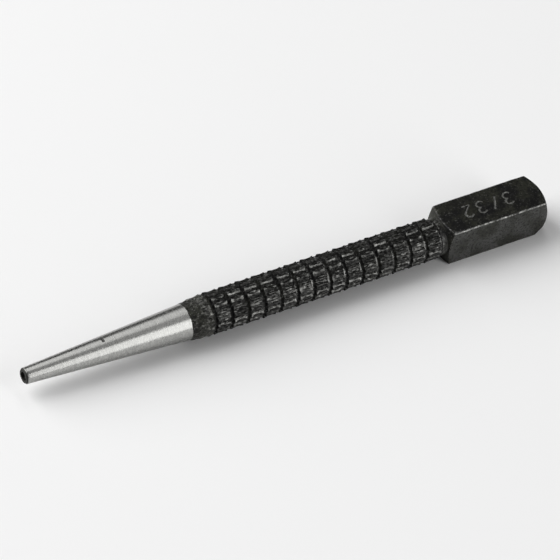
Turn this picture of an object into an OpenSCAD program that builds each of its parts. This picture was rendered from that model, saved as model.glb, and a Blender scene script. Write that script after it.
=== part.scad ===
// Nail setter: a hardened steel punch with a cupped, ground point, a knurled grip and a square head.
// It lies along X, its working face at the origin and one flat of the head upwards.

/* [Point] */
// Diameter of the flat working face round the cup
face_d = 2.4; // [2.1:0.05:2.7]
// Diameter of the cone just behind the bevel of the rim
tip_d = 2.85; // [2.5:0.05:3.6]
// Length of the bevel round the rim
rim_length = 0.25; // [0.1:0.05:0.6]
// Diameter of the cup that keeps the point on a nail's head
cup_d = 1.6; // [0.8:0.05:2]
// Depth of the cup's straight wall
cup_depth = 0.5; // [0.3:0.05:1.2]
// Angle of the drill point that leaves the cup's bottom
cup_angle = 118; // [90:1:140]
// Length of the bright ground cone
point_length = 30.6; // [20:0.1:45]
// Diameter where the ground cone ends
point_d = 6.35; // [4.5:0.05:7.2]

/* [Collar] */
// Length from the ground cone to the middle of the first ring groove
collar_length = 4.4; // [3:0.1:8]
// Length of the collar that is still tapered
collar_taper = 3.6; // [1:0.1:6]

/* [Grip] */
// Diameter over the pads of the knurl
grip_d = 7.5; // [7:0.1:12]
// Number of bands of pads along the grip
band_count = 14; // [4:1:20]
// Distance from one ring groove to the next
band_pitch = 3.2; // [2:0.1:5]
// Width of a ring groove at the surface
ring_w = 0.95; // [0.6:0.05:1.4]
// Width of a ring groove's flat floor
ring_floor_w = 0.5; // [0.2:0.05:0.55]
// Depth of a ring groove
ring_depth = 0.45; // [0.15:0.05:0.8]
// Number of straight grooves round the grip
groove_count = 16; // [6:1:18]
// Width of a straight groove at the surface
groove_w = 1.25; // [0.6:0.05:1.3]
// Width of a straight groove's flat floor
groove_floor_w = 0.35; // [0.1:0.05:0.5]
// Depth of a straight groove
groove_depth = 0.4; // [0.1:0.05:0.6]

/* [Head] */
// Width of the square head across its flats
head_w = 7.5; // [7:0.1:14]
// Length of the head, from the neck to the struck face
head_length = 20.85; // [10:0.05:40]
// Length of the round neck before the head
neck_length = 0.95; // [0.3:0.05:5]
// Depth of the neck below the pads of the grip
neck_depth = 0.45; // [0.1:0.05:1.2]
// Width of the small bevel along the four long edges
edge_bevel = 0.25; // [0.1:0.05:1]
// Slope of the turned front of the head, from square to the axis
front_slope = 20; // [5:1:45]
// Diameter of the flat struck face
struck_d = 4.5; // [2.5:0.1:7]
// Slope of the bevel round the struck face, from square to the axis
struck_slope = 30; // [10:1:45]

/* [Hidden] */
$fn = 96;
cut = 0.5; // how far a cutting shape stands clear of what it cuts
ground_steel = [0.72, 0.72, 0.70];
blackened_steel = [0.13, 0.13, 0.12];

collar_x = point_length;
grip_x = collar_x + collar_length;
neck_x = grip_x + band_count * band_pitch;
head_x = neck_x + neck_length;
struck_x = head_x + head_length;

grip_r = grip_d / 2;
ring_r = grip_r - ring_depth;
neck_r = grip_r - neck_depth;
struck_r = struck_d / 2;
corner_r = head_w / sqrt(2);

// A solid of revolution about X, from an outline of [radius, x] points
module turned(outline) {
    rotate([0, 90, 0])
        rotate_extrude()
            polygon(outline);
}

// The flat-floored straight grooves, which run out where the collar tapers away beneath them
module straight_grooves() {
    bottom_r = grip_r - groove_depth;
    top_r = grip_r + cut;
    floor_half = groove_floor_w / 2;
    top_half = floor_half + (groove_w / 2 - floor_half) * (top_r - bottom_r) / groove_depth;
    rotate([0, 90, 0])
        translate([0, 0, collar_x])
            linear_extrude(neck_x + cut - collar_x)
                for (i = [0 : groove_count - 1])
                    rotate((i + 0.5) * 360 / groove_count)
                        polygon([
                            [bottom_r, floor_half], [bottom_r, -floor_half],
                            [top_r, -top_half], [top_r, top_half]
                        ]);
}

// One band's outline: up out of a ring groove, along the pads and down to the next groove's floor
function band(x) = [
    [ring_r, x + ring_floor_w / 2],
    [grip_r, x + ring_w / 2],
    [grip_r, x + band_pitch - ring_w / 2],
    [ring_r, x + band_pitch - ring_floor_w / 2]
];

module point() {
    cup_r = cup_d / 2;
    cup_bottom = cup_depth + cup_r / tan(cup_angle / 2);
    color(ground_steel)
        turned([
            [0, cup_bottom],
            [cup_r, cup_depth],
            [cup_r, 0],
            [face_d / 2, 0],
            [tip_d / 2, rim_length],
            [point_d / 2, point_length],
            [0, point_length]
        ]);
}

// The taper ends at the grip's full width, or before that in the first ring groove
module collar() {
    point_r = point_d / 2;
    groove_x = grip_x - ring_w / 2;
    taper_end = min(collar_x + collar_taper, groove_x);
    end_r = point_r + (grip_r - point_r) * (taper_end - collar_x) / collar_taper;
    color(blackened_steel)
        difference() {
            turned([
                [0, collar_x],
                [point_r, collar_x],
                [end_r, taper_end],
                if (taper_end < groove_x) [end_r, groove_x],
                [ring_r, grip_x - ring_floor_w / 2],
                [ring_r, grip_x],
                [0, grip_x]
            ]);
            straight_grooves();
        }
}

module knurled_grip() {
    color(blackened_steel)
        difference() {
            turned(concat(
                [[0, grip_x], [ring_r, grip_x]],
                [for (i = [0 : band_count - 1]) each band(grip_x + i * band_pitch)],
                [[ring_r, neck_x], [0, neck_x]]
            ));
            straight_grooves();
        }
}

// The square bar that the head is turned from, a little longer than the head at both ends
module square_bar() {
    flat = head_w / 2;
    inner = flat - edge_bevel;
    rotate([0, 90, 0])
        translate([0, 0, neck_x - cut])
            linear_extrude(struck_x + cut - (neck_x - cut))
                polygon([
                    [flat, -inner], [flat, inner], [inner, flat], [-inner, flat],
                    [-flat, inner], [-flat, -inner], [-inner, -flat], [inner, -flat]
                ]);
}

module head() {
    swing_r = max(corner_r, neck_r) + cut;
    color(blackened_steel)
        intersection() {
            square_bar();
            turned([
                [0, neck_x],
                [neck_r, neck_x],
                [neck_r, head_x],
                [swing_r, head_x + (swing_r - neck_r) * tan(front_slope)],
                [swing_r, struck_x - (swing_r - struck_r) * tan(struck_slope)],
                [struck_r, struck_x],
                [0, struck_x]
            ]);
        }
}

point();
collar();
knurled_grip();
head();
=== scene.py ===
import math
import random

import bmesh
import bpy
from mathutils import Matrix, Vector, noise


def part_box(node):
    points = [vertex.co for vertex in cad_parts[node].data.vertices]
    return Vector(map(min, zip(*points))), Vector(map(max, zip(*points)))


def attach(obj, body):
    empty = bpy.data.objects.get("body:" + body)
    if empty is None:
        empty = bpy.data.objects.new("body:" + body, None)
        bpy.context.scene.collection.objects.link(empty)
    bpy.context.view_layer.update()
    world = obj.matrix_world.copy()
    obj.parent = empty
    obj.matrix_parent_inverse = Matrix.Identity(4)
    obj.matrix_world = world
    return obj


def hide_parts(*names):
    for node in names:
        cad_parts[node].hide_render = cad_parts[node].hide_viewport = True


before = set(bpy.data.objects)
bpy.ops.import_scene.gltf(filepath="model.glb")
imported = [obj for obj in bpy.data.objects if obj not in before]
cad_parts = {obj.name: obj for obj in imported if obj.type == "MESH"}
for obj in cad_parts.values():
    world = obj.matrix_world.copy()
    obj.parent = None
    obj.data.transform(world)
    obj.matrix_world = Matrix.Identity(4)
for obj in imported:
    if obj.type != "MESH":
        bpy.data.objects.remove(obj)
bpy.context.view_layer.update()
mm = 0.001      # meshes are modelled in millimetres and scaled to metres when they are finished
slack = 0.01    # mm, to tell one place on a mesh from another
weld = 0.001    # mm, within which vertices are merged
scene = bpy.context.scene
scene.view_settings.view_transform = "Standard"


def nodeBox(node):
    low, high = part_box(node)
    return low / mm, high / mm


def clamp01(value):
    return min(max(value, 0.0), 1.0)


def smooth(value):
    value = clamp01(value)
    return value * value * (3 - 2 * value)


# A smooth change from 0 at the start to 1 at the end
def ramp(value, start, end):
    return smooth((value - start) / (end - start))


def mix(a, b, share):
    return a + (b - a) * share


pointLow, pointHigh = nodeBox("point")
collarLow, collarHigh = nodeBox("collar")
gripLow, gripHigh = nodeBox("knurled_grip")
headLow, headHigh = nodeBox("head")
toolMiddle = Vector(((pointLow.x + headHigh.x) / 2, 0, 0)) * mm


# Camera

cameraValues = {
    "azimuth": -37.629,    # degrees, 0 looks along +Y
    "elevation": 45.788,
    "roll": 10.265,
    "aim": (47.17, -2.38, 5.58),    # mm
    "distance": 951.5,     # mm
    "lens": 365.35,
    "sensor": 36,
    "clip": (0.01, 20),    # metres
}


def addCamera(values):
    azimuth = math.radians(values["azimuth"])
    elevation = math.radians(values["elevation"])
    roll = math.radians(values["roll"])
    right = Vector((math.cos(azimuth), math.sin(azimuth), 0))
    back = Vector((right.y * math.cos(elevation), -right.x * math.cos(elevation), math.sin(elevation)))
    up = back.cross(right)
    turn = Matrix((right, up, back)).transposed().to_4x4() @ Matrix.Rotation(roll, 4, "Z")
    place = Vector(values["aim"]) * mm + back * values["distance"] * mm
    camera = bpy.data.cameras.new("photoCamera")
    camera.lens = values["lens"]
    camera.sensor_width = values["sensor"]
    camera.clip_start, camera.clip_end = values["clip"]
    rig = bpy.data.objects.new("photoCamera", camera)
    rig.matrix_world = Matrix.Translation(place) @ turn
    scene.collection.objects.link(rig)
    scene.camera = rig


addCamera(cameraValues)
print("camera placed")


# Shader helpers: a plain value is set on a socket, and another socket is linked to it

def feed(tree, socket, value):
    if isinstance(value, bpy.types.NodeSocket):
        tree.links.new(value, socket)
    else:
        socket.default_value = value


def addNode(tree, kind, inputs=None, **settings):
    node = tree.nodes.new("ShaderNode" + kind)
    for key, value in settings.items():
        setattr(node, key, value)
    for key, value in (inputs or {}).items():
        feed(tree, node.inputs[key], value)
    return node


def doMath(tree, operation, a, b=0.0, clamp=False):
    return addNode(tree, "Math", {0: a, 1: b}, operation=operation, use_clamp=clamp).outputs[0]


def remap(tree, value, low, high, toLow=0.0, toHigh=1.0):
    inputs = {"Value": value, "From Min": low, "From Max": high, "To Min": toLow, "To Max": toHigh}
    return addNode(tree, "MapRange", inputs, interpolation_type="SMOOTHSTEP").outputs[0]


# A color is a socket or three values
def blendColor(tree, share, a, b):
    node = addNode(tree, "Mix", {0: share}, data_type="RGBA")
    for key, color in ((6, a), (7, b)):
        isSocket = isinstance(color, bpy.types.NodeSocket)
        feed(tree, node.inputs[key], color if isSocket else (*color, 1))
    return node.outputs[2]


def addNoise(tree, place, scale, detail=3.0, roughness=0.6):
    inputs = {"Vector": place, "Scale": scale, "Detail": detail, "Roughness": roughness}
    return addNode(tree, "TexNoise", inputs).outputs["Fac"]


def newGroup(name, inputs, outputs):
    group = bpy.data.node_groups.new(name, "ShaderNodeTree")
    for label, value in inputs.items():
        socket = group.interface.new_socket(label, in_out="INPUT", socket_type="NodeSocketFloat")
        socket.default_value = value
    for label in outputs:
        group.interface.new_socket(label, in_out="OUTPUT", socket_type="NodeSocketFloat")
    return group, group.nodes.new("NodeGroupInput"), group.nodes.new("NodeGroupOutput")


def useGroup(tree, group, inputs):
    return addNode(tree, "Group", inputs, node_tree=group).outputs


# Blotches, grain and specks of a finish, at sizes given per metre
def makeMottleGroup():
    inputs = {"Blotch Scale": 300.0, "Grain Scale": 2500.0, "Speck Scale": 4000.0}
    group, source, sink = newGroup("finishMottle", inputs, ["Blotch", "Grain", "Speck"])
    place = addNode(group, "TexCoord").outputs["Object"]
    blotch = addNoise(group, place, source.outputs["Blotch Scale"], 4.0)
    grain = addNoise(group, place, source.outputs["Grain Scale"])
    speck = addNoise(group, place, source.outputs["Speck Scale"], 2.0, 0.5)
    group.links.new(remap(group, blotch, 0.4, 0.62), sink.inputs["Blotch"])
    group.links.new(grain, sink.inputs["Grain"])
    group.links.new(remap(group, speck, 0.6, 0.72), sink.inputs["Speck"])
    return group


# Where a finish is burnished or rubbed through: an exposed place, broken up by noise
def makeRubGroup():
    inputs = {"Exposed": 0.0, "Amount": 1.0, "Breakup": 0.6, "Edge": 1.0, "Scale": 1500.0, "Stretch": 1.0}
    group, source, sink = newGroup("rubbedPlaces", inputs, ["Mask"])
    place = addNode(group, "TexCoord").outputs["Object"]
    spread = addNode(group, "CombineXYZ", {0: source.outputs["Stretch"], 1: 1.0, 2: 1.0}).outputs[0]
    place = addNode(group, "VectorMath", {0: place, 1: spread}, operation="MULTIPLY").outputs[0]
    patches = addNoise(group, place, source.outputs["Scale"])
    loss = doMath(group, "MULTIPLY", remap(group, patches, 0.35, 0.65), source.outputs["Breakup"])
    left = doMath(group, "SUBTRACT", source.outputs["Exposed"], loss)
    kept = doMath(group, "DIVIDE", left, source.outputs["Edge"], clamp=True)
    mask = doMath(group, "MULTIPLY", kept, source.outputs["Amount"], clamp=True)
    group.links.new(mask, sink.inputs["Mask"])
    return group


mottleGroup = makeMottleGroup()
rubGroup = makeRubGroup()
noiseRange = (0.3, 0.7)    # where the values of a noise mostly lie


def newMaterial(name):
    material = bpy.data.materials.new(name)
    material.use_nodes = True
    tree = material.node_tree
    return material, tree, tree.nodes["Principled BSDF"]


def addBump(tree, shader, height, depth):
    bump = addNode(tree, "Bump", {"Strength": 1.0, "Distance": depth * mm, "Height": height})
    tree.links.new(bump.outputs[0], shader.inputs["Normal"])


# Ground steel: fine grinding rings, a dark working face, a burnt edge where the grinding ends, and
# painted shade on and around the nick
groundLook = {
    "bright": (0.44, 0.44, 0.426),
    "dull": (0.33, 0.33, 0.319),
    "brightRange": (0.15, 0.4),      # rings times grain, from dull to bright
    # the burnt edge where the grinding ends, and also the painted shade on and around the nick
    "burntAndShaded": (0.03, 0.03, 0.027),
    "face": (0.04, 0.04, 0.037),     # the working face and the cup are darker
    "faceReach": (1.44, 1.36),       # mm from the axis, where the bright cone turns dark
    "dulling": 0.3,                  # added to the roughness where the steel is dark
    "roughness": (0.24, 0.33),
    "ringScale": 5200.0,             # grinding rings along the axis, per metre
    "ringSqueeze": 0.1,              # below 1 the rings run on round the axis
    "grainScale": 3000.0,            # per metre
    "bumpDepth": 0.002,              # mm
    "lineScale": 900.0,              # how the end of the grinding wanders, per metre
    "lineReach": (-0.1, 0.05),       # mm past the end of the point
    "nickRange": (0.08, 0.3),        # the nick's own attribute, from bright to painted shade
}


def makeGroundSteel(look):
    material, tree, shader = newMaterial("groundSteel")
    place = addNode(tree, "TexCoord").outputs["Object"]
    along = addNode(tree, "SeparateXYZ", {0: place}).outputs[0]
    across = addNode(tree, "VectorMath", {0: place, 1: (0, 1, 1)}, operation="MULTIPLY").outputs[0]
    radius = addNode(tree, "VectorMath", {0: across}, operation="LENGTH").outputs["Value"]
    squeeze = look["ringSqueeze"]
    squeezed = addNode(tree, "Mapping", {"Vector": place, "Scale": (1.0, squeeze, squeeze)}).outputs[0]
    rings = addNoise(tree, squeezed, look["ringScale"], 4.0, 0.65)
    grain = useGroup(tree, mottleGroup, {"Grain Scale": look["grainScale"]})["Grain"]
    ground = remap(tree, doMath(tree, "MULTIPLY", rings, grain), *look["brightRange"])
    color = blendColor(tree, ground, look["dull"], look["bright"])
    inFace = remap(tree, radius, *[reach * mm for reach in look["faceReach"]])
    color = blendColor(tree, inFace, color, look["face"])
    lineEnds = [(pointHigh.x + reach) * mm for reach in look["lineReach"]]
    lineAt = remap(tree, addNoise(tree, place, look["lineScale"]), *noiseRange, *lineEnds)
    pastLine = doMath(tree, "GREATER_THAN", along, lineAt)
    # painted shade: the nick and the steel round it are painted dark, joined with the burnt edge where
    # the grinding ends
    nick = addNode(tree, "Attribute", attribute_name="nick").outputs["Fac"]
    burntAndShaded = doMath(tree, "MAXIMUM", pastLine, remap(tree, nick, *look["nickRange"]))
    color = blendColor(tree, burntAndShaded, color, look["burntAndShaded"])
    tree.links.new(color, shader.inputs["Base Color"])
    tree.links.new(doMath(tree, "SUBTRACT", 1.0, burntAndShaded), shader.inputs["Metallic"])
    satin = remap(tree, grain, *noiseRange, *look["roughness"])
    dulled = doMath(tree, "MULTIPLY", doMath(tree, "MAXIMUM", inFace, burntAndShaded), look["dulling"])
    tree.links.new(doMath(tree, "ADD", satin, dulled), shader.inputs["Roughness"])
    addBump(tree, shader, doMath(tree, "ADD", rings, grain), look["bumpDepth"])
    return material


# Blackened steel: a matt finish, burnished where a tool pressed it and bright where it is rubbed through.
# Two attributes of the mesh steer it: exposed for burnish and rubbing, and a second from deep to pale,
# which on the head is painted light that makes the upright sides paler.
blackShared = {
    "blotchScale": 260.0,          # all scales are per metre
    "blotch": 0.8,
    "speckScale": 3600.0,
    "pit": (0.002, 0.002, 0.002),
    "pitRange": (0.52, 0.36),      # the grain, from the edge of a pit to its middle
    "pitting": 0.8,
    "rubScale": 1900.0,
    "rubBreakup": 1.1,
}
blackLooks = {
    "blackCollar": {
        "deep": (0.007, 0.007, 0.0055),
        "olive": (0.027, 0.028, 0.021),        # blotches
        "pale": (0.03, 0.03, 0.03),
        "burnished": (0.085, 0.085, 0.078),
        "bare": (0.5, 0.5, 0.47),              # rubbed through, and the specks
        "roughness": (0.3, 0.45),
        "burnishedRoughness": 0.33,
        "specular": 0.16,
        "burnish": 0.8,
        "breakup": 0.6,                        # how much of the burnish the noise takes away
        "edge": 0.4,                           # how softly the burnished patches end
        "patchScale": 2400.0,
        "patchStretch": 0.4,                   # below 1 the patches are drawn out along the axis
        "rub": 0.5,
        "speck": 0.4,
        "grainScale": 2000.0,
        "bumpDepth": 0.32,                     # mm
    },
    "blackKnurl": {
        "deep": (0.002, 0.002, 0.002),
        "olive": (0.008, 0.0082, 0.0062),
        "pale": (0.01, 0.01, 0.0095),
        "burnished": (0.046, 0.046, 0.044),
        "bare": (0.5, 0.5, 0.48),
        "roughness": (0.4, 0.55),
        "burnishedRoughness": 0.2,
        "specular": 0.05,
        "burnish": 1.0,
        "breakup": 0.55,
        "edge": 0.25,
        "patchScale": 4600.0,
        "patchStretch": 0.3,
        "rub": 0.25,
        "speck": 0.12,
        "grainScale": 2600.0,
        "bumpDepth": 0.01,
    },
    "blackHead": {
        "deep": (0.004, 0.004, 0.004),
        "olive": (0.022, 0.0225, 0.016),
        "pale": (0.07, 0.0705, 0.067),
        "burnished": (0.14, 0.14, 0.135),
        "bare": (0.5, 0.5, 0.48),
        "roughness": (0.38, 0.52),
        "burnishedRoughness": 0.3,
        "specular": 0.16,
        "burnish": 1.0,
        "breakup": 0.35,
        "edge": 0.8,
        "patchScale": 2400.0,
        "patchStretch": 0.6,
        "rub": 0.7,
        "speck": 0.1,
        "grainScale": 2400.0,
        "bumpDepth": 0.03,
    },
}


def makeBlackSteel(name, look):
    material, tree, shader = newMaterial(name)
    mottle = useGroup(tree, mottleGroup, {
        "Blotch Scale": look["blotchScale"],
        "Grain Scale": look["grainScale"],
        "Speck Scale": look["speckScale"],
    })
    exposed = addNode(tree, "Attribute", attribute_name="exposed").outputs["Fac"]
    toneAndPaintedLight = addNode(tree, "Attribute", attribute_name="toneAndPaintedLight").outputs["Fac"]
    burnished = useGroup(tree, rubGroup, {
        "Exposed": exposed,
        "Amount": look["burnish"],
        "Breakup": look["breakup"],
        "Edge": look["edge"],
        "Scale": look["patchScale"],
        "Stretch": look["patchStretch"],
    })["Mask"]
    rubbed = useGroup(tree, rubGroup, {
        "Exposed": exposed,
        "Amount": look["rub"],
        "Breakup": look["rubBreakup"],
        "Scale": look["rubScale"],
    })["Mask"]
    bare = doMath(tree, "MAXIMUM", rubbed, doMath(tree, "MULTIPLY", mottle["Speck"], look["speck"]))
    # from deep to pale; on the head the paler upright sides are painted light
    color = blendColor(tree, toneAndPaintedLight, look["deep"], look["pale"])
    blotched = doMath(tree, "MULTIPLY", mottle["Blotch"], look["blotch"])
    color = blendColor(tree, blotched, color, look["olive"])
    pits = doMath(tree, "MULTIPLY", remap(tree, mottle["Grain"], *look["pitRange"]), look["pitting"])
    color = blendColor(tree, pits, color, look["pit"])
    color = blendColor(tree, burnished, color, look["burnished"])
    color = blendColor(tree, bare, color, look["bare"])
    tree.links.new(color, shader.inputs["Base Color"])
    metal = doMath(tree, "MAXIMUM", burnished, bare)
    tree.links.new(metal, shader.inputs["Metallic"])
    matt = remap(tree, mottle["Grain"], *noiseRange, *look["roughness"])
    shine = doMath(tree, "SUBTRACT", look["burnishedRoughness"], matt)
    roughness = doMath(tree, "ADD", matt, doMath(tree, "MULTIPLY", shine, metal))
    tree.links.new(roughness, shader.inputs["Roughness"])
    shader.inputs["Specular IOR Level"].default_value = look["specular"]
    addBump(tree, shader, mottle["Grain"], look["bumpDepth"])
    return material


groundSteel = makeGroundSteel(groundLook)
blackSteel = {name: makeBlackSteel(name, {**blackShared, **look}) for name, look in blackLooks.items()}
print("materials ready")


# Mesh helpers

# An outline of (x, radius) points is turned about X; cuts gives some of its edges more rows
def turnProfile(outline, columns, cuts=None):
    bm = bmesh.new()
    verts = [bm.verts.new((x, 0, radius)) for x, radius in outline]
    edges = [bm.edges.new(pair) for pair in zip(verts, verts[1:])]
    for index, count in (cuts or {}).items():
        bmesh.ops.subdivide_edges(bm, edges=[edges[index]], cuts=count)
    bmesh.ops.spin(bm, geom=bm.verts[:] + bm.edges[:], axis=(1, 0, 0), cent=(0, 0, 0),
                   angle=2 * math.pi, steps=columns, use_merge=True)
    bmesh.ops.remove_doubles(bm, verts=bm.verts, dist=weld)
    bmesh.ops.recalc_face_normals(bm, faces=bm.faces)
    return bm


def radiusOf(vert):
    return math.hypot(vert.co.y, vert.co.z)


def setRadius(vert, radius):
    scale = radius / radiusOf(vert)
    vert.co.y *= scale
    vert.co.z *= scale


def ringEdges(bm, x, radius):
    def onRing(vert):
        return abs(vert.co.x - x) < slack and abs(radiusOf(vert) - radius) < slack
    return [edge for edge in bm.edges if onRing(edge.verts[0]) and onRing(edge.verts[1])]


def roundEdges(bm, edges, width, segments):
    bmesh.ops.bevel(bm, geom=edges, offset=width, segments=segments, profile=0.5,
                    affect="EDGES", material=-1, clamp_overlap=True)


def finishPiece(bm, name, node, material, sharpAngle):
    bmesh.ops.scale(bm, vec=(mm, mm, mm), verts=bm.verts)
    mesh = bpy.data.meshes.new(name)
    bm.to_mesh(mesh)
    bm.free()
    mesh.shade_smooth()
    mesh.set_sharp_from_angle(angle=math.radians(sharpAngle))
    mesh.materials.append(material)
    piece = bpy.data.objects.new(name, mesh)
    scene.collection.objects.link(piece)
    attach(piece, "root")
    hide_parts(node)
    print("made", name, len(mesh.polygons), "faces")


# Ground point

groundPoint = {
    "columns": 128,
    "rows": 70,
    "faceR": 1.2,            # the flat working face
    "tipR": 1.425,           # the cone, just behind the bevel of the rim
    "rimLength": 0.25,
    "cupR": 0.8,
    "cupDepth": 0.5,         # of the straight wall
    "cupAngle": 118,         # of the drill point
    "rimRound": 0.05,
    "nickX": 14.85,          # a small transverse nick on the upper side, mm from the tip
    "nickAngle": 84,
    "nickSpan": 26,          # degrees round the cone
    "nickWidth": 0.3,
    "nickDepth": 0.16,
    "nickShade": (1.2, 1.7),    # how far round and along it is painted with shade, in halves of its span and width
    "nickNear": (1.6, 4.5),     # how far the mesh is made finer, likewise
    "nickCuts": 5,
    "sharpAngle": 50,
}


def makeGroundPoint(values):
    cupBottom = values["cupDepth"] + values["cupR"] / math.tan(math.radians(values["cupAngle"] / 2))
    outline = [
        (cupBottom, 0),
        (values["cupDepth"], values["cupR"]),
        (pointLow.x, values["cupR"]),
        (pointLow.x, values["faceR"]),
        (values["rimLength"], values["tipR"]),
        (pointHigh.x, pointHigh.y),
        (pointHigh.x, 0),
    ]
    coneEdge = 4    # of the outline
    bm = turnProfile(outline, values["columns"], {coneEdge: values["rows"]})
    sharpRings = []
    for x, radius in outline[1:coneEdge + 1]:
        sharpRings += ringEdges(bm, x, radius)
    roundEdges(bm, sharpRings, values["rimRound"], 3)
    pressNick(bm, values)
    return bm


def pressNick(bm, values):
    halfSpan = values["nickSpan"] / 2
    halfWidth = values["nickWidth"] / 2
    nearAround, nearAlong = values["nickNear"]
    shadeAround, shadeAlong = values["nickShade"]

    def fromNick(vert):
        around = math.degrees(math.atan2(vert.co.z, vert.co.y)) - values["nickAngle"]
        return abs(around / halfSpan), abs((vert.co.x - values["nickX"]) / halfWidth)

    def isNear(edge):
        places = [fromNick(vert) for vert in edge.verts]
        return all(around < nearAround and along < nearAlong for around, along in places)

    nick = bm.verts.layers.float.new("nick")
    near = [edge for edge in bm.edges if isNear(edge)]
    bmesh.ops.subdivide_edges(bm, edges=near, cuts=values["nickCuts"], use_grid_fill=True)
    for vert in bm.verts:
        around, along = fromNick(vert)
        if around < shadeAround and along < shadeAlong:
            dent = smooth(1 - around) * smooth(1 - along)
            setRadius(vert, radiusOf(vert) - values["nickDepth"] * dent)
            # painted shade of the nick, fading out round the dent
            vert[nick] = smooth(2 * (shadeAround - around)) * smooth(2 * (shadeAlong - along))


# Knurl: ring grooves are turned, and straight grooves are then pressed in along the axis

knurl = {
    "sectors": 16,
    "bands": 14,
    "columns": (0, 0.12, 0.36, 0.7, 1),     # from the middle of a pad to the middle of a groove
    "burnish": (0.9, 0.9, 1, 0.55, 0.5),    # on each of these columns
    "toneAndPaintedLight": (0.8, 0.8, 0.8, 0.4, 0),
    "padRows": (0, 0.12, 0.5),              # from a pad's end to its middle
    "ringDepth": 0.45,
    "ringBefore": (0.4, 0.54),    # mm from a ring's middle to the pads before it, when unworn and worn
    "ringAfter": 0.27,            # and to the pads after it
    "ringWall": (0.12, 0.25),     # how far the walls before and after the middle lean
    "ringShine": (-2, 7),         # the rings get more worn from one of these to the other
    "ringGloss": 0.85,
    "crown": 0.05,                # how much lower a pad is at its ends
    "grooveDepth": 0.45,
    "grooveEdge": 0.7,            # where a flank meets the flat floor of a groove
    "land": 0.1,                  # how far from its middle line a pad is level, halfway along it
    "dish": 0.34,                 # mm that a pad is hollowed
    "dishAcross": (0.36, 0.12),   # from the rim of the hollow to its floor
    "dishAlong": 0.36,            # of a band, from a pad's middle to the hollow's end
    "unworn": 0.9,                # how much less a pad is burnished in its middle,
    "unwornAcross": 0.5,          # of the way to a groove
    "unwornAlong": (5 / 12, 5 / 36),    # of a band, from fully worn to unworn
    "shallow": 0.25,              # seeded differences between the grooves and between the pads
    "lift": 0.03,
    "lean": 0.05,
    "shift": 0.07,
    "grain": 0.02,                # mm of fine unevenness
    "grainScale": 2.3,            # per mm
    "phase": -1.9,                # degrees that the whole knurl is turned
    "seed": 11,
    "sharpAngle": 28,
}
gripR = gripHigh.y
ringR = gripR - knurl["ringDepth"]
pitch = (gripHigh.x - gripLow.x) / knurl["bands"]
sectorAngle = 2 * math.pi / knurl["sectors"]
columnCount = knurl["sectors"] * 2 * (len(knurl["columns"]) - 1)


def makePadTable(values):
    draw = random.Random(values["seed"])
    table = {}
    for band in range(-2, values["bands"] + 1):    # the collar lies on the two bands before the grip
        for sector in range(values["sectors"]):
            table[band, sector] = {
                "depth": 1 - values["shallow"] * draw.random() ** 3,    # of the groove after this pad
                "gloss": draw.uniform(0.6, 1),
                "unworn": values["unworn"] * draw.uniform(0.5, 1),
                "dish": values["dish"] * draw.uniform(0.6, 1),
                "lift": -values["lift"] * draw.random(),
                "lean": values["lean"] * draw.uniform(-1, 1),
                "shift": values["shift"] * draw.uniform(-1, 1),
            }
    return table


padTable = makePadTable(knurl)


def ringWear(values, ring):
    return ramp(ring, *values["ringShine"])


# Half a ring groove and half a band, before or after the groove's middle, as steps away from it
def halfBand(values, ring, after):
    wall = values["ringAfter"] if after else mix(*values["ringBefore"], ringWear(values, ring))
    steps = [(wall - values["ringWall"][after], ringR)]
    for share in values["padRows"]:
        steps.append((mix(wall, pitch / 2, share), gripR - values["crown"] * (1 - share) ** 2))
    return steps


# depthAt says how much of the knurl is pressed in at a place along the axis, in one sector
def pressGrooves(bm, values, depthAt):
    exposed = bm.verts.layers.float.new("exposed")
    toneAndPaintedLight = bm.verts.layers.float.new("toneAndPaintedLight")
    sectors = values["sectors"]
    depthShare = values["grooveDepth"] / values["ringDepth"]
    for vert in bm.verts:
        radius = radiusOf(vert)
        if radius < slack:
            continue
        around = math.atan2(vert.co.z, vert.co.y) / sectorAngle
        column = round(around)
        side = math.copysign(1, around - column)
        across = min(2 * abs(around - column), 1)    # 0 on the middle of a pad, 1 in a groove
        place = round(across * (len(values["columns"]) - 1))
        gathered = values["columns"][place]
        turn = math.radians(values["phase"]) + side * (gathered - across) / 2 * sectorAngle
        along = (vert.co.x - gripLow.x) / pitch
        band = math.floor(along)
        fromMiddle = along - band - 0.5
        if radius > ringR + slack:
            pad = padTable[band, column % sectors]
            groove = pad if side > 0 else padTable[band, (column - 1) % sectors]
            share = depthAt(vert.co.x, column % sectors)
            middle = smooth(1 - abs(fromMiddle) / values["dishAlong"])
            land = values["land"] * middle
            fall = clamp01((gathered - land) / (values["grooveEdge"] - land))
            hollow = pad["dish"] * ramp(gathered, *values["dishAcross"]) * middle
            rough = noise.noise(vert.co * values["grainScale"]) * values["grain"]
            top = radius + (pad["lift"] + pad["lean"] * fromMiddle + rough - hollow) * share
            left = 1 - fall * groove["depth"] * share * depthShare
            unworn = pad["unworn"] * smooth(1 - gathered / values["unwornAcross"])
            unworn *= ramp(abs(fromMiddle), *values["unwornAlong"])
            setRadius(vert, min(mix(ringR, top, left), gripR))
            turn += pad["shift"] * (1 - fall) * share / gripR
            # the wall that rises out of a ring groove stays black
            if (along - band) * pitch > values["ringAfter"] + slack:
                vert[exposed] = share * (1 - unworn) * pad["gloss"] * values["burnish"][place]
                vert[toneAndPaintedLight] = share * values["toneAndPaintedLight"][place]
        elif radius > ringR - slack and fromMiddle > 0:
            vert[exposed] = values["ringGloss"] * ringWear(values, band + 1)
        vert.co.rotate(Matrix.Rotation(turn, 3, "X"))


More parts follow.
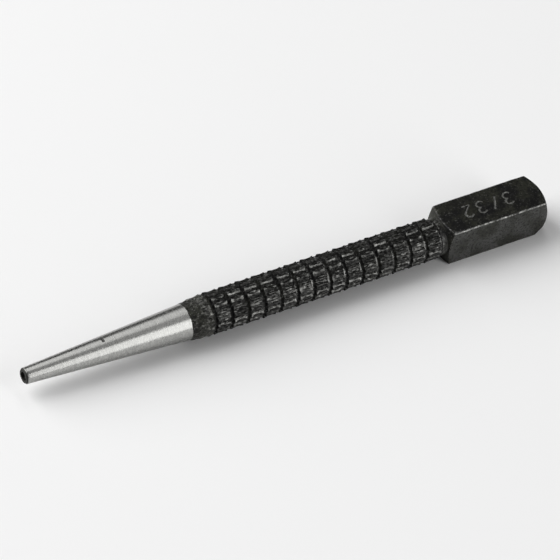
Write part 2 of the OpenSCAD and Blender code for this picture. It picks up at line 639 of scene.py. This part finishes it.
def makeKnurledBarrel(values):
    outline = [(gripLow.x, 0), (gripLow.x, ringR)]
    for band in range(values["bands"]):
        start = gripLow.x + band * pitch
        end = start + pitch
        outline += [(start + step, radius) for step, radius in halfBand(values, band, True)]
        outline += [(start + pitch / 2, gripR)]
        outline += [(end - step, radius) for step, radius in reversed(halfBand(values, band + 1, False))]
    outline += [(gripHigh.x, ringR), (gripHigh.x, 0)]
    bm = turnProfile(outline, columnCount)
    pressGrooves(bm, values, lambda x, sector: 1.0)
    return bm


# Black collar: the knurl starts on the rear half of its taper

blackCollar = {
    "taper": 3.6,               # mm that are tapered
    "rows": 10,
    "start": 1.2,               # mm along the collar to where the straight grooves begin,
    "startSpread": 0.9,         # with a seeded difference for each
    "run": 1.4,                 # mm until they are as deep as on the grip
    "seed": 4,
    "streakHeight": 0.15,       # short streaks along the axis
    "streakScale": (0.9, 2.4, 2.4),    # per mm
    "streakWear": 0.45,
    "streakContrast": 1.2,
    "streakStart": (0, 0.6),    # mm from the collar's front, where they fade in
    "streakEnd": (0.4, 0.7),    # mm before its rear, where they fade out
    "sharpAngle": 28,
}


def makeBlackCollar(values):
    outline = [
        (collarLow.x, 0),
        (collarLow.x, pointHigh.y),
        (collarLow.x + values["taper"], gripR),
    ]
    rearWall = halfBand(knurl, 0, False)[:2]
    outline += [(collarHigh.x - step, radius) for step, radius in reversed(rearWall)]
    outline += [(collarHigh.x, ringR), (collarHigh.x, 0)]
    taperEdge = 1    # of the outline
    bm = turnProfile(outline, columnCount, {taperEdge: values["rows"]})
    draw = random.Random(values["seed"])
    first = collarLow.x + values["start"]
    starts = [first + values["startSpread"] * draw.random() for sector in range(knurl["sectors"])]
    pressGrooves(bm, knurl, lambda x, sector: ramp(x, starts[sector], starts[sector] + values["run"]))
    streakCollar(bm, values)
    return bm


def streakCollar(bm, values):
    exposed = bm.verts.layers.float["exposed"]
    for vert in bm.verts:
        radius = radiusOf(vert)
        fade = ramp(vert.co.x - collarLow.x, *values["streakStart"])
        fade *= ramp(collarHigh.x - vert.co.x, *values["streakEnd"])
        if radius < slack or fade == 0:
            continue
        streak = noise.noise(vert.co * Vector(values["streakScale"]))
        setRadius(vert, min(radius + streak * values["streakHeight"] * fade, gripR))
        worn = values["streakWear"] * smooth(0.5 + values["streakContrast"] * streak) * fade
        vert[exposed] = max(vert[exposed], worn)


# Square head: a section with rounded corners is extruded ring by ring along the axis

squareHead = {
    "cornerRound": 0.3,
    "flatCuts": 15,
    "barRows": 56,
    "neckR": 3.3,
    "neckLength": 0.95,
    "frontSlope": 20,           # degrees from square to the axis
    "frontShare": 0.8,          # how far out a ring lies on the turned front
    "struckR": 2.25,
    "struckSlope": 30,
    "edgeRound": 0.1,
    "rearRound": 0.3,
    "beatenCorner": 225,        # degrees; the corner that is beaten back
    "beatenBack": 0.9,          # mm
    "beatenReach": (4.1, 5.3),  # mm from the axis towards that corner
    "waviness": 0.012,
    "waveScale": 0.35,          # per mm
    "edgeDents": 0.07,
    "dentScale": 1.3,
    "chipScale": 1.1,           # of the rubbed places along the four long edges
    "chipContrast": 1.4,
    "creaseWear": 0.1,
    "frontWear": 0.35,          # on the creases at the front of the flats,
    "frontReach": 3,            # up to this far along the head
    "flatDepth": 0.06,          # what is no deeper than this lies on a flat
    "neckWear": 0.4,
    "numeralWear": 1.6,
    "sharpAngle": 40,
}


def makeSquareHead(values):
    half = headHigh.y
    frontX = headLow.x + values["neckLength"]
    struckX = headHigh.x
    frontTan = math.tan(math.radians(values["frontSlope"]))
    struckTan = math.tan(math.radians(values["struckSlope"]))
    beatenAt = math.radians(values["beatenCorner"])
    bm = bmesh.new()
    bmesh.ops.create_circle(bm, segments=4, radius=half * math.sqrt(2))
    bmesh.ops.rotate(bm, verts=bm.verts, cent=(0, 0, 0), matrix=Matrix.Rotation(math.pi / 4, 3, "Z"))
    bmesh.ops.rotate(bm, verts=bm.verts, cent=(0, 0, 0), matrix=Matrix.Rotation(math.pi / 2, 3, "Y"))
    bmesh.ops.bevel(bm, geom=bm.verts[:], offset=values["cornerRound"], segments=4, profile=0.5,
                    affect="VERTICES", material=-1)
    flats = [edge for edge in bm.edges if edge.calc_length() > half]
    bmesh.ops.subdivide_edges(bm, edges=flats, cuts=values["flatCuts"])

    def turnRing(vert, x, radius):
        vert.co.x = x
        setRadius(vert, radius)

    def frontRing(vert, share):
        radius = mix(values["neckR"], radiusOf(vert), share)
        turnRing(vert, frontX + (radius - values["neckR"]) * frontTan, radius)

    def barRing(vert, share):
        reach = radiusOf(vert)
        toCorner = vert.co.y * math.cos(beatenAt) + vert.co.z * math.sin(beatenAt)
        beaten = values["beatenBack"] * ramp(toCorner, *values["beatenReach"])
        front = frontX + (reach - values["neckR"]) * frontTan
        rear = struckX - (reach - values["struckR"]) * struckTan - beaten
        vert.co.x = mix(front, rear, share)

    # each station places the ring of vertices that the one before it left
    stations = [(turnRing, headLow.x, values["neckR"]), (turnRing, frontX, values["neckR"])]
    stations += [(frontRing, values["frontShare"])]
    stations += [(barRing, row / values["barRows"]) for row in range(values["barRows"] + 1)]
    stations += [(turnRing, struckX, values["struckR"])]
    last = len(stations) - 1
    frontStations = (1, 3)               # the neck's end and the front of the flats
    rearStations = (last - 1, last)      # the rear of the flats and the struck face
    frontCreases = []
    rearCreases = []
    ring = bm.edges[:]
    bmesh.ops.contextual_create(bm, geom=ring)
    for index, (placeVert, *where) in enumerate(stations):
        verts = list({vert for edge in ring for vert in edge.verts})
        if index < last:
            grown = bmesh.ops.extrude_edge_only(bm, edges=ring)["geom"]
        for vert in verts:
            placeVert(vert, *where)
        if index in frontStations:
            frontCreases += ring
        if index in rearStations:
            rearCreases += ring
        if index < last:
            ring = [item for item in grown if isinstance(item, bmesh.types.BMEdge)]
    bmesh.ops.contextual_create(bm, geom=ring)
    bmesh.ops.recalc_face_normals(bm, faces=bm.faces)
    roundEdges(bm, frontCreases, values["edgeRound"], 2)
    roundEdges(bm, rearCreases, values["rearRound"], 3)
    bm.normal_update()
    dentHead(bm, values)
    return bm


# 1 on the head's four long edges, 0 beside them
def onLongEdge(vert, values):
    inner = headHigh.y - values["cornerRound"]
    return ramp(min(abs(vert.co.y), abs(vert.co.z)), inner, inner + 0.2 * values["cornerRound"])


def dentHead(bm, values):
    for vert in bm.verts:
        wave = noise.noise(vert.co * values["waveScale"]) * values["waviness"]
        dent = max(0, noise.noise(vert.co * values["dentScale"])) * values["edgeDents"]
        vert.co += vert.normal * (wave - dent * onLongEdge(vert, values))


# Size numerals, cut into the upper flat: each stroke is a line of points in a box one high
numerals = {
    "text": "3/32",
    "middle": (90.6, 0.1),
    "height": 2.6,
    "width": 0.6,        # of the height
    "advance": 2.7,      # mm from one to the next
    "slant": 0.12,
    "strokeR": 0.24,
    "depth": 0.15,
    "reach": (6, 2),     # mm from the middle, along and across, within which all strokes lie
    "below": (0.5, 0.04),    # mm below the flat, between which their floors lie
}


def arcPoints(center, radii, start, end, count=9):
    angles = [math.radians(mix(start, end, step / (count - 1))) for step in range(count)]
    return [(center[0] + radii[0] * math.cos(a), center[1] + radii[1] * math.sin(a)) for a in angles]


def glyphStroke(glyph):
    if glyph == "3":
        upper = arcPoints((0.3, 0.75), (0.28, 0.25), 150, -90)
        lower = arcPoints((0.3, 0.25), (0.3, 0.25), 90, -150)
        return upper + lower[1:]
    if glyph == "2":
        return arcPoints((0.3, 0.72), (0.29, 0.28), 165, -40) + [(0.0, 0.0), (0.62, 0.0)]
    return [(0.08, -0.05), (0.52, 1.05)]    # a stroke between two numbers


def drawNumerals(values):
    curve = bpy.data.curves.new("numerals", "CURVE")
    curve.dimensions = "3D"
    curve.bevel_depth = values["strokeR"]
    curve.bevel_resolution = 1
    curve.use_fill_caps = True
    height = values["height"]
    middleX, middleY = values["middle"]
    level = headHigh.z + values["strokeR"] - values["depth"]
    length = values["advance"] * (len(values["text"]) - 1) + values["width"] * height
    for index, glyph in enumerate(values["text"]):
        stroke = glyphStroke(glyph)
        line = curve.splines.new("POLY")
        line.points.add(len(stroke) - 1)
        for point, (across, up) in zip(line.points, stroke):
            run = index * values["advance"] + (across + values["slant"] * up) * height
            point.co = (middleX + length / 2 - run, middleY + height / 2 - up * height, level, 1)
    return curve


def addHelper(name, data):
    helper = bpy.data.objects.new(name, data)
    scene.collection.objects.link(helper)
    return helper


# A helper's mesh, with its bevel or its modifiers in it
def bakedMesh(helper):
    graph = bpy.context.evaluated_depsgraph_get()
    return bpy.data.meshes.new_from_object(helper.evaluated_get(graph))


def cutNumerals(bm, values):
    headMesh = bpy.data.meshes.new("plainHead")
    bm.to_mesh(headMesh)
    bm.free()
    lines = addHelper("numeralLines", drawNumerals(values))
    blank = addHelper("plainHead", headMesh)
    cutter = addHelper("numerals", bakedMesh(lines))
    cut = blank.modifiers.new("numerals", "BOOLEAN")
    cut.operation = "DIFFERENCE"
    cut.solver = "EXACT"
    cut.use_self = True
    cut.object = cutter
    result = bmesh.new()
    result.from_mesh(bakedMesh(blank))
    for helper in (lines, cutter, blank):
        bpy.data.objects.remove(helper)
    bmesh.ops.remove_doubles(result, verts=result.verts, dist=weld)
    return result


# Wear on the head: its long edges, its creases, the cut numerals and the neck, and painted light that
# makes the upright sides paler
def markHead(bm, values):
    exposed = bm.verts.layers.float.new("exposed")
    toneAndPaintedLight = bm.verts.layers.float.new("toneAndPaintedLight")
    flatAt = headHigh.y - values["flatDepth"]
    frontEnd = headLow.x + values["frontReach"]
    neckEnd = headLow.x + values["neckLength"] - values["edgeRound"]
    textX = numerals["middle"][0]
    reachX, reachY = numerals["reach"]
    textLow, textHigh = [headHigh.z - depth for depth in numerals["below"]]
    bm.normal_update()
    for vert in bm.verts:
        inner = [edge for edge in vert.link_edges if len(edge.link_faces) == 2]
        crease = clamp01(2 * max((edge.calc_face_angle_signed(0) for edge in inner), default=0))
        atFront = max(abs(vert.co.y), abs(vert.co.z)) > flatAt and vert.co.x < frontEnd
        nearText = abs(vert.co.x - textX) < reachX and abs(vert.co.y) < reachY
        inNumeral = nearText and textLow < vert.co.z < textHigh
        onNeck = vert.co.x < neckEnd
        chips = values["chipContrast"] * noise.noise(vert.co * values["chipScale"])
        chipped = 0.5 + 0.5 * smooth(0.5 + chips)
        vert[exposed] = max(
            onLongEdge(vert, values) * chipped,
            crease * values["frontWear" if atFront else "creaseWear"],
            values["numeralWear"] * inNumeral,
            values["neckWear"] * onNeck,
        )
        # painted light: the upright sides are painted paler than the upper and lower flats
        vert[toneAndPaintedLight] = ramp(abs(vert.normal.y), 0.5, 0.9)    # the upright sides are paler


def makeMarkedHead(values):
    bm = cutNumerals(makeSquareHead(values), numerals)
    markHead(bm, values)
    return bm


finishPiece(makeGroundPoint(groundPoint), "ground_point", "point",
            groundSteel, groundPoint["sharpAngle"])
finishPiece(makeBlackCollar(blackCollar), "black_collar", "collar",
            blackSteel["blackCollar"], blackCollar["sharpAngle"])
finishPiece(makeKnurledBarrel(knurl), "knurled_barrel", "knurled_grip",
            blackSteel["blackKnurl"], knurl["sharpAngle"])
finishPiece(makeMarkedHead(squareHead), "square_head", "head",
            blackSteel["blackHead"], squareHead["sharpAngle"])


# Stage: a pale floor, soft panels and a dim surround

stageValues = {
    "floorSize": 6.0,    # metres
    "floorColor": (0.9, 0.9, 0.9),
    "floorRoughness": 0.9,
    "floorSpecular": 0.1,
    "surround": (0.08, 0.08, 0.08),
}
# Each panel stands at an angle round the tool's axis, from the back over the top to the front,
# and leans towards the struck end (1) or towards the point (-1); distances and sizes are in metres
panels = {
    "frontPanel": {"around": 150.5, "lean": 0.38, "distance": 0.7, "size": (0.24, 0.67), "radiance": 3.5},
    "topPanel": {"around": 103, "lean": 0.38, "distance": 0.7, "size": (0.3, 0.34), "radiance": 0.6},
    "backPanel": {"around": 62, "lean": 0.22, "distance": 0.7, "size": (0.17, 0.64), "radiance": 1.9},
    "keyPanel": {"around": 45, "lean": -0.65, "distance": 1.1, "size": (1.3, 1.2), "radiance": 4.1},
}


def addFloor(values):
    bm = bmesh.new()
    bmesh.ops.create_grid(bm, x_segments=1, y_segments=1, size=values["floorSize"] / 2)
    bmesh.ops.translate(bm, verts=bm.verts, vec=(0, 0, headLow.z * mm))
    mesh = bpy.data.meshes.new("floor")
    bm.to_mesh(mesh)
    bm.free()
    material, tree, shader = newMaterial("paleFloor")
    shader.inputs["Base Color"].default_value = (*values["floorColor"], 1)
    shader.inputs["Roughness"].default_value = values["floorRoughness"]
    shader.inputs["Specular IOR Level"].default_value = values["floorSpecular"]
    mesh.materials.append(material)
    floor = bpy.data.objects.new("floor", mesh)
    scene.collection.objects.link(floor)


def addPanel(name, values):
    width, height = values["size"]
    lamp = bpy.data.lights.new(name, "AREA")
    lamp.shape = "RECTANGLE"
    lamp.size = width
    lamp.size_y = height
    lamp.energy = values["radiance"] * math.pi * width * height    # watts that give this radiance
    rig = bpy.data.objects.new(name, lamp)
    around = math.radians(values["around"])
    upright = math.sqrt(1 - values["lean"] ** 2)
    toward = Vector((values["lean"], math.cos(around) * upright, math.sin(around) * upright))
    heightAxis = Vector((0, -math.sin(around), math.cos(around)))    # the height runs round the tool
    turn = Matrix((heightAxis.cross(toward), heightAxis, toward)).transposed().to_4x4()
    rig.matrix_world = Matrix.Translation(toolMiddle + toward * values["distance"]) @ turn
    scene.collection.objects.link(rig)


def addSurround(values):
    world = bpy.data.worlds.new("surround")
    world.use_nodes = True
    world.node_tree.nodes["Background"].inputs["Color"].default_value = (*values["surround"], 1)
    scene.world = world


addFloor(stageValues)
for panelName, panelValues in panels.items():
    addPanel(panelName, panelValues)
addSurround(stageValues)
print("stage ready")
